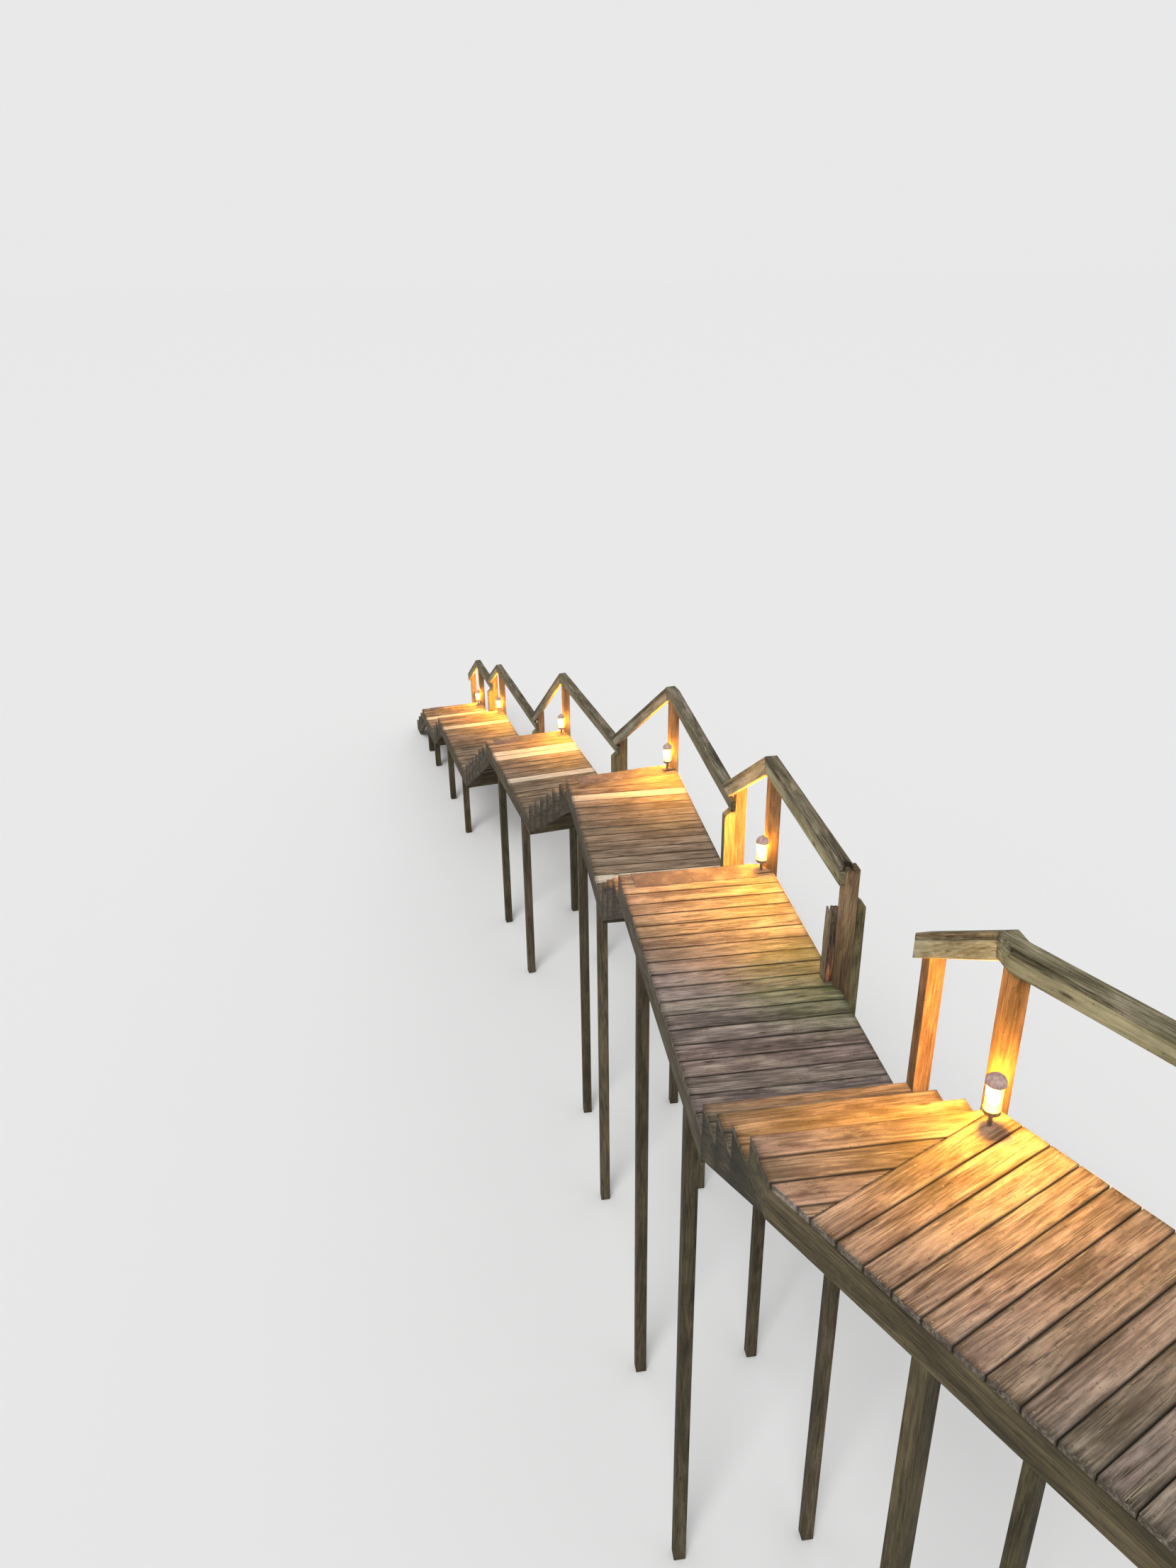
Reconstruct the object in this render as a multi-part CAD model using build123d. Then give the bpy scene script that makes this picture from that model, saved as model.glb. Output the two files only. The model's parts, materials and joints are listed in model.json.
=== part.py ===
"""Wooden deck stairs: level board landings joined by open flights, stepping down a slope, with a
handrail and lamps along one side. Millimetres, +Z up. Plan directions: +Y runs down the stairs along the
upper main stretch, +X points to the handrail side. The origin is on the ground under the middle of the
whole stair, at the foot of its legs."""

import os
from math import acos, degrees, radians, tan

from build123d import *

# Sawn timber sections
BOARD_WIDTH = 140
BOARD_THICK = 38
BOARD_GAP = 5
JOIST_THICK = 38
JOIST_DEPTH = 184
STRINGER_THICK = 38
STRINGER_DEPTH = 286
POST_SIZE = 89
RAIL_BOARD_THICK = 38
RAIL_BOARD_DEPTH = 89
CAP_WIDTH = 89
CAP_THICK = 38

# Walkway and flights
WALK_WIDTH = 1145
RISE = 184
TREAD_GAP = 5
TREAD_BOARDS = 2
UPPER_BEND = 26.0
LOWER_BEND = 8.8
LOWER_BEND_REACH = 130

# Handrail
RAIL_HEIGHT = 885
# How much lower the rail is on each landing than that
RAIL_LOWERED = {"z": 0, "a": 0, "b": 18, "c": 37, "d": 43, "e": 37}
POST_OVERLAP = 30
# How far each far post stands back over its landing, and where the two rails meet past the landing's edge
POST_BEFORE_EDGE = {"z": 0, "a": 45, "b": 45, "c": 45, "d": 45, "e": 45}
PEAK_PAST_EDGE = {"z": 102, "a": 0, "b": 0, "c": 0, "d": 0, "e": 0}
TONGUE_BELOW_JOIST = 30
RAIL_END_PAST_POST = 30
FREE_RAILS = ("z", "e")
# Where a sloped rail meets the level one: distance in from the lower landing's near edge
JUNCTION_IN = {"a": 285, "b": 140, "c": 20, "d": 300}
STUB_BEVEL = 44

# Landing A opening to the side, measured back from its far edge
MAIN_POST_BACK = 1640
MAIN_CAP_SHORT = 10
MAIN_POST_RISE = 12
OLD_POST_WIDTH = 58
OLD_POST_HEIGHT = 650
OLD_POST_BEVEL = 58
SPLIT_POST_HEIGHT = 535
SPLIT_POST_LOSS = 62
SPLIT_POST_WIDTH = 82

# Legs under the landings
LEG_SIZE = 89
LEG_INSET = 531
SHORT_LEG_INSET = 250

# Clipped board corner beside each lamp
CLIP_ACROSS = 85
CLIP_ALONG = 140

# Tread mats on the far edges
MAT_WIDTH = 196
MAT_THICK = 3
MAT_LEFT_INSET = 98
MAT_RIGHT_INSET = 125
SHORT_MAT_LENGTH = 255
SHORT_MAT_INSET = 140

# Lamps
LAMP_INSET_X = 84
LAMP_INSET_Y = 100
STEM_RADIUS = 11
STEM_HEIGHT = 78
CUP_RADIUS = 40
CUP_HEIGHT = 22
GLASS_RADIUS = 38
GLASS_HEIGHT = 135
GLASS_WALL = 3
SHADE_RADIUS = 47
SHADE_HEIGHT = 40
SHADE_RIM = 8
KNOB_RADIUS = 9
KNOB_HEIGHT = 8

# Boards along each landing and steps down from it
BOARD_COUNT = {"z": 17, "a": 19, "b": 17, "c": 17, "d": 17, "e": 9}
RISER_COUNT = {"z": 4, "a": 4, "b": 7, "c": 7, "d": 3, "e": 4}
ORDER = ["z", "a", "b", "c", "d", "e"]

# Values that follow from those above
PITCH = BOARD_WIDTH + BOARD_GAP
RUN = TREAD_BOARDS * BOARD_WIDTH + (TREAD_BOARDS - 1) * TREAD_GAP
SLOPE = RISE / RUN
SLOPE_COS = RUN / (RUN ** 2 + RISE ** 2) ** 0.5
JOIST_BOTTOM = BOARD_THICK + JOIST_DEPTH
STRINGER_DROP = STRINGER_DEPTH / SLOPE_COS
POST_INNER = -POST_OVERLAP
POST_OUTER = POST_SIZE - POST_OVERLAP
RAIL_INNER = POST_INNER - RAIL_BOARD_THICK
CAP_OUTER = RAIL_INNER + CAP_WIDTH
LONG = 10 * WALK_WIDTH
# How far a flight's foot post stands out from the lower edge, up the flight. Over zero it is on the last tread.
FOOT_POST_OUT = {"z": POST_SIZE, "a": 0, "b": POST_SIZE, "c": RUN, "d": 0, "e": POST_SIZE}


def landing_length(name):
    """Length of a landing along its boards' count, from its far edge to its near edge."""
    return BOARD_COUNT[name] * PITCH - BOARD_GAP


def flight_run(name):
    """Plan length of the flight that goes down from a landing."""
    return (RISER_COUNT[name] - 1) * RUN


def deck_level(name):
    """Height of a landing's boards above the ground."""
    return RISE * sum(RISER_COUNT[each] for each in ORDER[ORDER.index(name):])


def heading(x, y, turn):
    """A level frame with its origin at x, y, turned to the left by a number of degrees."""
    return Location((x, y, 0), (0, 0, turn))


def along(frame, y):
    """The same frame, moved along its own run."""
    return frame * Location((0, y, 0))


# Frames of the three straight stretches. Each lies on the handrail edge of the walkway.
MAIN = heading(0, 0, 0)
UPPER = heading(0, -landing_length("a") - flight_run("z"), UPPER_BEND)
LOWER = heading(0, flight_run("a") + landing_length("b"), LOWER_BEND)

FAR_EDGE = {"z": along(MAIN, UPPER.position.Y), "a": MAIN, "b": along(LOWER, LOWER_BEND_REACH)}
for upper, lower in zip(ORDER[2:], ORDER[3:]):
    FAR_EDGE[lower] = along(FAR_EDGE[upper], flight_run(upper) + landing_length(lower))
NEAR_FRAME = {**FAR_EDGE, "z": UPPER, "b": along(MAIN, LOWER.position.Y)}


def plan_point(frame, x, y):
    """Plan position of a point given in a frame."""
    spot = (frame * Location((x, y, 0))).position
    return (spot.X, spot.Y)


def crossing(a, b, c, d):
    """Where the line through a and b meets the line through c and d."""
    ux, uy = b[0] - a[0], b[1] - a[1]
    vx, vy = d[0] - c[0], d[1] - c[1]
    share = ((c[0] - a[0]) * vy - (c[1] - a[1]) * vx) / (ux * vy - uy * vx)
    return (a[0] + share * ux, a[1] + share * uy)


def edge_path(name, inset, far_extra=0.0, near_extra=0.0):
    """The line along a landing at a distance in from its handrail edge, from far end to near end."""
    far, near = FAR_EDGE[name], NEAR_FRAME[name]
    start = plan_point(far, -inset, far_extra)
    end = plan_point(near, -inset, -landing_length(name) - near_extra)
    if name not in ("z", "b"):
        return [start, end]
    bend = crossing(start, plan_point(far, -inset, far_extra - LONG), end, plan_point(near, -inset, LONG))
    straight_part = abs(bend[0] - start[0]) + abs(bend[1] - start[1])
    return [start, bend, end] if straight_part > 0.01 else [start, end]


def prism(points, bottom, top):
    """A solid with a plan outline, between two heights."""
    outline = Polyline(*points, close=True)
    return Pos(0, 0, bottom) * extrude(make_face(outline), top - bottom, dir=(0, 0, 1))


def strip(name, outer, inner, bottom, top, far_extra=0.0, near_extra=0.0):
    """A length of timber that follows a landing's run between two insets."""
    points = edge_path(name, outer, far_extra, near_extra) + edge_path(name, inner, far_extra, near_extra)[::-1]
    return prism(points, deck_level(name) + bottom, deck_level(name) + top)


def outline(name, bottom, top):
    """A landing's whole plan area, between two heights measured from its boards' top."""
    return strip(name, 0, WALK_WIDTH, bottom, top)


def box(frame, x, y, z):
    """A box in a frame, from three pairs of limits."""
    size = (x[1] - x[0], y[1] - y[0], z[1] - z[0])
    return frame * Pos(x[0], y[0], z[0]) * Box(*size, align=(Align.MIN, Align.MIN, Align.MIN))


def side_plate(frame, points, x, level=0.0):
    """A plate with a side outline of run and height pairs, between two distances across."""
    face = make_face(Polyline(*[(x[0], run, level + height) for run, height in points], close=True))
    return frame * extrude(face, x[1] - x[0], dir=(1, 0, 0))


def cross_board(name, frame, y, clip=None):
    """A deck board across a landing, cut to its edges, with its corner clipped where asked."""
    level = deck_level(name)
    board = box(frame, (-2 * WALK_WIDTH, WALK_WIDTH), y, (level - BOARD_THICK, level))
    board &= outline(name, -BOARD_THICK, 0)
    return board - clip if clip else board


def corner_clip(name):
    """The wedge of board that is missing at a landing's far corner on the handrail side."""
    level = deck_level(name)
    far = FAR_EDGE[name]
    corners = [(-CLIP_ACROSS, 1), (1, 1), (1, -CLIP_ALONG), (0, -CLIP_ALONG), (-CLIP_ACROSS, 0)]
    points = [plan_point(far, x, y) for x, y in corners]
    return prism(points, level - BOARD_THICK, level)


def straight_decking(name):
    """Boards square to a straight landing."""
    clip = corner_clip(name)
    rows = range(BOARD_COUNT[name])
    spans = [(-row * PITCH - BOARD_WIDTH, -row * PITCH) for row in rows]
    return [cross_board(name, FAR_EDGE[name], span, clip if index == 0 else None)
            for index, span in enumerate(spans)]


def lower_bend_decking():
    """Landing B: one board square to the lower stretch, a tapered one, then boards square to its run."""
    far, near = FAR_EDGE["b"], NEAR_FRAME["b"]
    boards = [cross_board("b", far, (-BOARD_WIDTH, 0), corner_clip("b"))]
    taper = cross_board("b", far, (-LONG, -PITCH))
    level = deck_level("b")
    keep = box(near, (-LONG, LONG), (-2 * PITCH + BOARD_GAP, LONG), (level - BOARD_THICK, level))
    boards.append(taper & keep)
    for row in range(2, BOARD_COUNT["b"]):
        boards.append(cross_board("b", near, (-row * PITCH - BOARD_WIDTH, -row * PITCH)))
    return boards


def upper_bend_decking():
    """Landing Z: boards square to the flight below fill the corner, then boards square to its run."""
    far, near = FAR_EDGE["z"], NEAR_FRAME["z"]
    level = deck_level("z")
    wedge = box(near, (-LONG, LONG), (BOARD_GAP, LONG), (level - BOARD_THICK, level))
    reach = WALK_WIDTH * (tan(radians(UPPER_BEND)))
    boards = []
    for row in range(int(reach / PITCH) + 1):
        board = cross_board("z", far, (-row * PITCH - BOARD_WIDTH, -row * PITCH)) & wedge
        boards.append(board)
    for row in range(BOARD_COUNT["z"]):
        boards.append(cross_board("z", near, (-row * PITCH - BOARD_WIDTH, -row * PITCH)))
    return boards


def decking(name):
    if name == "b":
        return lower_bend_decking()
    if name == "z":
        return upper_bend_decking()
    return straight_decking(name)


def joists(name):
    """Two edge joists and a middle one, all along the landing."""
    top, bottom = -BOARD_THICK, -JOIST_BOTTOM
    middle = (WALK_WIDTH - JOIST_THICK) / 2
    trim = headers(name)
    centre = strip(name, middle, middle + JOIST_THICK, bottom, top)
    for header in trim:
        centre -= header
    return [strip(name, 0, JOIST_THICK, bottom, top), centre,
            strip(name, WALK_WIDTH - JOIST_THICK, WALK_WIDTH, bottom, top)]


def headers(name):
    """Cross joists that close a landing's two ends between its edge joists."""
    level = deck_level(name)
    heights = (level - JOIST_BOTTOM, level - BOARD_THICK)
    inside = strip(name, JOIST_THICK, WALK_WIDTH - JOIST_THICK, -JOIST_BOTTOM, -BOARD_THICK)
    far = box(FAR_EDGE[name], (-LONG, LONG), (-JOIST_THICK, 0), heights) & inside
    end = -landing_length(name)
    near = box(NEAR_FRAME[name], (-LONG, LONG), (end, end + JOIST_THICK), heights) & inside
    return [far, near]


def legs(name):
    """Four posts inside the edge joists, from the ground to the boards."""
    inset = SHORT_LEG_INSET if name == "e" else LEG_INSET
    frame = NEAR_FRAME[name]
    top = deck_level(name) - BOARD_THICK
    length = landing_length(name)
    across = [(-JOIST_THICK - LEG_SIZE, -JOIST_THICK),
              (-WALK_WIDTH + JOIST_THICK, -WALK_WIDTH + JOIST_THICK + LEG_SIZE)]
    spans = [(-inset - LEG_SIZE, -inset), (-length + inset, -length + inset + LEG_SIZE)]
    return [box(frame, x, y, (0, top)) for x in across for y in spans]


def stringers(name):
    """Two boards notched for the treads. The first flight up from the ground stands on it."""
    steps = RISER_COUNT[name] - 1
    points = [(0, -JOIST_BOTTOM)]
    for step in range(1, steps + 1):
        height = -step * RISE - BOARD_THICK
        if step > 1:
            points.append(((step - 1) * RUN, height))
        points.append((step * RUN, height))
    foot = -BOARD_THICK - SLOPE * steps * RUN - STRINGER_DROP
    ground = -deck_level(name)
    if foot < ground:
        points.append((steps * RUN, ground))
        points.append(((-BOARD_THICK - STRINGER_DROP - ground) / SLOPE, ground))
    else:
        points.append((steps * RUN, foot))
    points.append(((JOIST_BOTTOM - BOARD_THICK - STRINGER_DROP) / SLOPE, -JOIST_BOTTOM))
    sides = [(-STRINGER_THICK, 0), (-WALK_WIDTH, -WALK_WIDTH + STRINGER_THICK)]
    return [side_plate(FAR_EDGE[name], points, side, deck_level(name)) for side in sides]


def treads(name):
    """Boards laid flat on the stringers' notches, with open risers."""
    found = []
    for step in range(1, RISER_COUNT[name]):
        top = deck_level(name) - step * RISE
        for board in range(TREAD_BOARDS):
            start = (step - 1) * RUN + board * (BOARD_WIDTH + TREAD_GAP)
            span = (start, start + BOARD_WIDTH)
            found.append(box(FAR_EDGE[name], (-WALK_WIDTH, 0), span, (top - BOARD_THICK, top)))
    return found


def rail_top(name):
    """Height of a landing's rail above its boards."""
    return RAIL_HEIGHT - RAIL_LOWERED[name]


def cap_under(name):
    return rail_top(name) - CAP_THICK


def rail_fall(name):
    """Fall of a flight's rail, from the level rail above to the one below."""
    return RISER_COUNT[name] * RISE + rail_top(name) - rail_top(flight_below(name))


def rail_slope(name):
    """Fall of a flight's rail for each unit of run."""
    if name in FREE_RAILS:
        return SLOPE
    return rail_fall(name) / (flight_run(name) + JUNCTION_IN[name] - PEAK_PAST_EDGE[name])


def slanted(name, thickness):
    """Upright measure of a thickness that is square to a flight's rail."""
    return thickness * (1 + rail_slope(name) ** 2) ** 0.5


def sloped_top(name, run):
    """Height of a sloped cap's top above the upper landing, at a run past its far edge."""
    return rail_top(name) - rail_slope(name) * (run - PEAK_PAST_EDGE[name])


def under_sloped_cap(name, run):
    """Height of a sloped cap's underside above the upper landing, at a run past its far edge."""
    return sloped_top(name, run) - slanted(name, CAP_THICK)


def sloped_band(name, upper_drop, lower_drop):
    """Side outline of a sloped timber, from the far post down to a level rail or to a plain end."""
    peak, top = PEAK_PAST_EDGE[name], rail_top(name)
    if name in FREE_RAILS:
        runs = [flight_run(name) + RAIL_END_PAST_POST] * 2
    else:
        fall = rail_fall(name) + CAP_THICK
        runs = [peak + (fall - drop) / rail_slope(name) for drop in (upper_drop, lower_drop)]
    return [(peak, top - lower_drop), (peak, top - upper_drop),
            (runs[0], sloped_top(name, runs[0]) - upper_drop), (runs[1], sloped_top(name, runs[1]) - lower_drop)]


def sloped_rail_board(name):
    top = slanted(name, CAP_THICK)
    band = sloped_band(name, top, top + slanted(name, RAIL_BOARD_DEPTH))
    return side_plate(FAR_EDGE[name], band, (RAIL_INNER, POST_INNER), deck_level(name))


def sloped_rail_cap(name):
    band = sloped_band(name, 0, slanted(name, CAP_THICK))
    return side_plate(FAR_EDGE[name], band, (RAIL_INNER, CAP_OUTER), deck_level(name))


def flight_above(name):
    return ORDER[ORDER.index(name) - 1]


def flight_below(name):
    return ORDER[ORDER.index(name) + 1]


def level_rail(name, outer, inner, bottom, top):
    """A level timber of a landing's handrail, out to the post at the foot of the flight above."""
    out = 0 if name in ("z", "a") else FOOT_POST_OUT[flight_above(name)]
    return strip(name, outer, inner, bottom, top, PEAK_PAST_EDGE[name], out)


def level_rail_board(name):
    top = cap_under(name)
    board = level_rail(name, -POST_INNER, -RAIL_INNER, top - RAIL_BOARD_DEPTH, top)
    if name != "a":
        return board
    return board - past_main_post(MAIN_POST_BACK)


def past_main_post(back):
    """All the space on landing A nearer than a distance back from its far edge."""
    level = deck_level("a")
    return box(MAIN, (-LONG, LONG), (-LONG, -back), (level, level + 2 * RAIL_HEIGHT))


def level_rail_cap(name):
    """A landing's flat cap. Its near end is bevelled to fit on the sloped cap that comes down to it."""
    cap = level_rail(name, -CAP_OUTER, -RAIL_INNER, cap_under(name), rail_top(name))
    if name == "z":
        return cap
    if name == "a":
        return cap - past_main_post(MAIN_POST_BACK - MAIN_CAP_SHORT)
    above = flight_above(name)
    meeting = sloped_band(above, 0, slanted(above, CAP_THICK))[2]
    points = [(0, sloped_top(above, 0)), meeting, (0, meeting[1])]
    cutter = side_plate(FAR_EDGE[above], points, (2 * RAIL_INNER, 2 * CAP_OUTER), deck_level(above))
    return cap - cutter


def lapped_post(name, span, base, top, low):
    """Post that stands on a board and runs down outside the joist or stringer beside it."""
    points = [(span[1], base), (span[0], base)] + top
    shaft = side_plate(FAR_EDGE[name], points, (POST_INNER, POST_OUTER), deck_level(name))
    level = deck_level(name)
    return shaft + box(FAR_EDGE[name], (0, POST_OUTER), span, (level + low, level + base))


def far_post(name):
    """Post over a landing's far corner, in the clipped board, under the meeting of its two rails. It is
    notched to stand on the edge joist and on the first tread, and laps the joist's outside."""
    level = deck_level(name)
    near, far = -POST_BEFORE_EDGE[name], POST_SIZE - POST_BEFORE_EDGE[name]
    peak = PEAK_PAST_EDGE[name]
    top = [(near, cap_under(name)), (peak, cap_under(name)), (peak, under_sloped_cap(name, peak)),
           (far, under_sloped_cap(name, far))]
    post = lapped_post(name, (near, far), -BOARD_THICK, top, -JOIST_BOTTOM - TONGUE_BELOW_JOIST)
    return post + box(FAR_EDGE[name], (POST_INNER, POST_OUTER), (0, far), (level - RISE, level - BOARD_THICK))


def first_tread_post(name):
    """Post past a landing's far edge, which stands on the first tread and laps the stringer's outside."""
    span = (-POST_BEFORE_EDGE[name], POST_SIZE - POST_BEFORE_EDGE[name])
    top = [(run, cap_under(name)) for run in span]
    return lapped_post(name, span, -RISE, top, -RISE - JOIST_BOTTOM - TONGUE_BELOW_JOIST)


def foot_span(name):
    """Runs past a landing's far edge between which its flight's foot post stands."""
    start = flight_run(name) - FOOT_POST_OUT[name]
    return (start, start + POST_SIZE)


def foot_base(name):
    """Height of the board under a flight's foot post, against the landing above."""
    return (RISE if FOOT_POST_OUT[name] > 0 else 0) - RISER_COUNT[name] * RISE


def flight_foot_post(name):
    """Post at a flight's foot, with its top cut to the slope."""
    span = foot_span(name)
    top = [(run, under_sloped_cap(name, run)) for run in span]
    low = -RISER_COUNT[name] * RISE - JOIST_BOTTOM - TONGUE_BELOW_JOIST
    return lapped_post(name, span, foot_base(name), top, max(low, -deck_level(name)))


def level_post(name, frame, back):
    """Post on a level stretch, notched to lap the outside of the edge joist."""
    level = deck_level(name)
    span = (-back, -back + POST_SIZE)
    shaft = box(frame, (POST_INNER, POST_OUTER), span, (level, level + cap_under(name)))
    low = level - JOIST_BOTTOM - TONGUE_BELOW_JOIST
    return shaft + box(frame, (0, POST_OUTER), span, (low, level))


def main_post():
    """Post at the end of landing A's rail, with its outer part left standing beside the cap."""
    top = deck_level("a") + cap_under("a")
    span = (-MAIN_POST_BACK, -MAIN_POST_BACK + POST_SIZE)
    ear = box(MAIN, (CAP_OUTER, POST_OUTER), span, (top, top + MAIN_POST_RISE))
    return level_post("a", MAIN, MAIN_POST_BACK) + ear


def rail_posts():
    found = [first_tread_post(name) if name == "z" else far_post(name) for name in ORDER]
    found += [flight_foot_post(name) for name in ORDER]
    found.append(main_post())
    found.append(level_post("z", UPPER, landing_length("z")))
    return found


def stub_post(name):
    """Short post inside a flight's foot post, under the end of the level rail board."""
    base = deck_level(name) + foot_base(name)
    below = flight_below(name)
    top = deck_level(below) + cap_under(below) - RAIL_BOARD_DEPTH
    inner = POST_INNER - POST_SIZE
    points = [(POST_INNER, base), (POST_INNER, top), (RAIL_INNER, top), (inner, top - STUB_BEVEL), (inner, base)]
    face = make_face(Polyline(*[(x, foot_span(name)[0], z) for x, z in points], close=True))
    return FAR_EDGE[name] * extrude(face, POST_SIZE, dir=(0, 1, 0))


def old_post():
    """Post against the outside of the main post, left standing above the boards with a slanted top."""
    level = deck_level("a")
    low = level - JOIST_BOTTOM - TONGUE_BELOW_JOIST
    top = level + OLD_POST_HEIGHT
    outer = POST_OUTER + OLD_POST_WIDTH
    points = [(POST_OUTER, low), (POST_OUTER, top), (outer, top - OLD_POST_BEVEL), (outer, low)]
    face = make_face(Polyline(*[(x, -MAIN_POST_BACK, z) for x, z in points], close=True))
    return MAIN * extrude(face, POST_SIZE, dir=(0, 1, 0))


def split_post():
    """Rotted post on landing A, broken off with a split top."""
    level = deck_level("a")
    start = -MAIN_POST_BACK + POST_SIZE
    points = [(start, 0), (start, SPLIT_POST_HEIGHT - SPLIT_POST_LOSS / 2),
              (start + POST_SIZE / 3, SPLIT_POST_HEIGHT), (start + POST_SIZE / 2, SPLIT_POST_HEIGHT - SPLIT_POST_LOSS),
              (start + POST_SIZE, SPLIT_POST_HEIGHT - SPLIT_POST_LOSS / 3), (start + POST_SIZE, 0)]
    return side_plate(MAIN, points, (-SPLIT_POST_WIDTH, 0), level)


def mats():
    """Thin non-slip mats on the far edges, a short remnant on the last landing."""
    found = []
    for name in ("a", "b", "c"):
        level = deck_level(name)
        across = (-WALK_WIDTH + MAT_LEFT_INSET, -MAT_RIGHT_INSET)
        found.append(box(FAR_EDGE[name], across, (-MAT_WIDTH, 0), (level, level + MAT_THICK)))
    level = deck_level("e")
    start = -WALK_WIDTH + SHORT_MAT_INSET
    across = (start, start + SHORT_MAT_LENGTH)
    found.append(box(FAR_EDGE["e"], across, (-MAT_WIDTH / 2, 0), (level, level + MAT_THICK)))
    return found


def lamp_spot(name, height):
    """Place over a landing's lamp, at a height above its boards."""
    return FAR_EDGE[name] * Location((-LAMP_INSET_X, -LAMP_INSET_Y, deck_level(name) + height))


def turned(radius, height):
    return Cylinder(radius, height, align=(Align.CENTER, Align.CENTER, Align.MIN))


def lamp_stem(name):
    return lamp_spot(name, 0) * (turned(STEM_RADIUS, STEM_HEIGHT)
                                 + Pos(0, 0, STEM_HEIGHT) * turned(CUP_RADIUS, CUP_HEIGHT))


def lamp_glass(name):
    """Glass cylinder, open at both ends, between the cup and the shade."""
    wall = turned(GLASS_RADIUS, GLASS_HEIGHT) - turned(GLASS_RADIUS - GLASS_WALL, GLASS_HEIGHT)
    return lamp_spot(name, STEM_HEIGHT + CUP_HEIGHT) * wall


def lamp_shade(name):
    """Domed cap with a small knob on top."""
    base = STEM_HEIGHT + CUP_HEIGHT + GLASS_HEIGHT
    top = SHADE_RIM + SHADE_HEIGHT + KNOB_HEIGHT
    sweep = degrees(acos(KNOB_RADIUS / SHADE_RADIUS))
    dome = EllipticalCenterArc((0, SHADE_RIM), SHADE_RADIUS, SHADE_HEIGHT, arc_size=sweep)
    rest = Polyline(dome @ 1, (KNOB_RADIUS, top), (0, top), (0, 0), (SHADE_RADIUS, 0), dome @ 0)
    return lamp_spot(name, base) * revolve(make_face(Plane.XZ * (dome + rest)), Axis.Z)


def assemble():
    """Every node by name, each a list of solids."""
    nodes = {}
    for name in ORDER:
        nodes[f"decking_{name}"] = decking(name)
        nodes[f"joists_{name}"] = joists(name)
        nodes[f"legs_{name}"] = legs(name)
    for number, name in enumerate(ORDER):
        nodes[f"stringers_{number}"] = stringers(name)
        nodes[f"treads_{number}"] = treads(name)
    nodes["headers"] = [header for name in ORDER for header in headers(name)]
    nodes["level_rail_boards"] = [level_rail_board(name) for name in ORDER]
    nodes["level_rail_caps"] = [level_rail_cap(name) for name in ORDER]
    nodes["sloped_rail_boards"] = [sloped_rail_board(name) for name in ORDER]
    nodes["sloped_rail_caps"] = [sloped_rail_cap(name) for name in ORDER]
    nodes["rail_posts"] = rail_posts()
    nodes["stub_posts"] = [stub_post(name) for name in JUNCTION_IN] + [old_post(), split_post()]
    nodes["mats"] = mats()
    nodes["lamp_stems"] = [lamp_stem(name) for name in ORDER]
    nodes["lamp_glasses"] = [lamp_glass(name) for name in ORDER]
    nodes["lamp_shades"] = [lamp_shade(name) for name in ORDER]
    return nodes


def centred(nodes):
    """The nodes as compounds, moved so that the origin is under the middle of the whole."""
    whole = {name: Compound(children=[solid for part in parts for solid in part.solids()])
             for name, parts in nodes.items()}
    box_all = Compound(children=[Compound(children=list(each.solids())) for each in whole.values()]).bounding_box()
    middle = box_all.center()
    return {name: Pos(-middle.X, -middle.Y, -box_all.min.Z) * each for name, each in whole.items()}


os.makedirs("parts", exist_ok=True)
for node, shape in centred(assemble()).items():
    export_step(shape, f"parts/{node}.step")
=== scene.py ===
"""Looks of the wooden deck stairs: weathered boards, cracked caps, worn mats and lit lamps."""
import json
from math import radians

import bmesh
import bpy
from mathutils import Matrix, Vector, noise

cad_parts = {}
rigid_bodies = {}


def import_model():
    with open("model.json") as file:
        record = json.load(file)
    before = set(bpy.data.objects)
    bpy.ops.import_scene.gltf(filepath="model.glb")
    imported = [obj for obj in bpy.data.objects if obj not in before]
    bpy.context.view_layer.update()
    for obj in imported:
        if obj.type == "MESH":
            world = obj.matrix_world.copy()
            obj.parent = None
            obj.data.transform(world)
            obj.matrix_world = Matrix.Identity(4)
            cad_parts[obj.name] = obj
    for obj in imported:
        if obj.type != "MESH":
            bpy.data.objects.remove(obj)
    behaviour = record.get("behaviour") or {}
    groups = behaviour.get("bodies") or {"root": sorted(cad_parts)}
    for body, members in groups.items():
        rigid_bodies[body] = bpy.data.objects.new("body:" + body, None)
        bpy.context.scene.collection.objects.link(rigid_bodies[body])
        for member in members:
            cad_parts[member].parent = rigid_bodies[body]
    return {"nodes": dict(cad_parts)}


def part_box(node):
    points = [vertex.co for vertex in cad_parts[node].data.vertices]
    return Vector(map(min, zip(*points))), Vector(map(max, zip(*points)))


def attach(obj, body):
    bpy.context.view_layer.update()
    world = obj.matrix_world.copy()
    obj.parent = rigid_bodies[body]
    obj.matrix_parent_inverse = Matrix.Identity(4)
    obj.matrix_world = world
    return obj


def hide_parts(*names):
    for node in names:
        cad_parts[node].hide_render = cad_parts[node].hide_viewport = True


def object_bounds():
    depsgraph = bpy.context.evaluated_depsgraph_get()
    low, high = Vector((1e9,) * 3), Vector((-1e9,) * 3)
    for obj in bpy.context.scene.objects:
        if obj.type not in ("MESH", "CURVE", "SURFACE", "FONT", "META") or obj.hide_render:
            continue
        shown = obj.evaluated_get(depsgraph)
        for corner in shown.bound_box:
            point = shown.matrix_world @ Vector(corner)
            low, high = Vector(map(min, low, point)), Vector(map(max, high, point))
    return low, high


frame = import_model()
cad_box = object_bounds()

# Without a seed, noise_vector gives other values each run
noise.seed_set(1)

# Landing A's far corner on the handrail side, on top of its boards
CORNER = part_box("decking_a")[1]
LANDINGS = "zabcde"
# From one board to the next, from one tread to the next, and the height of a step
PITCH = 0.145
RUN = 0.285
RISER = 0.184
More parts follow.
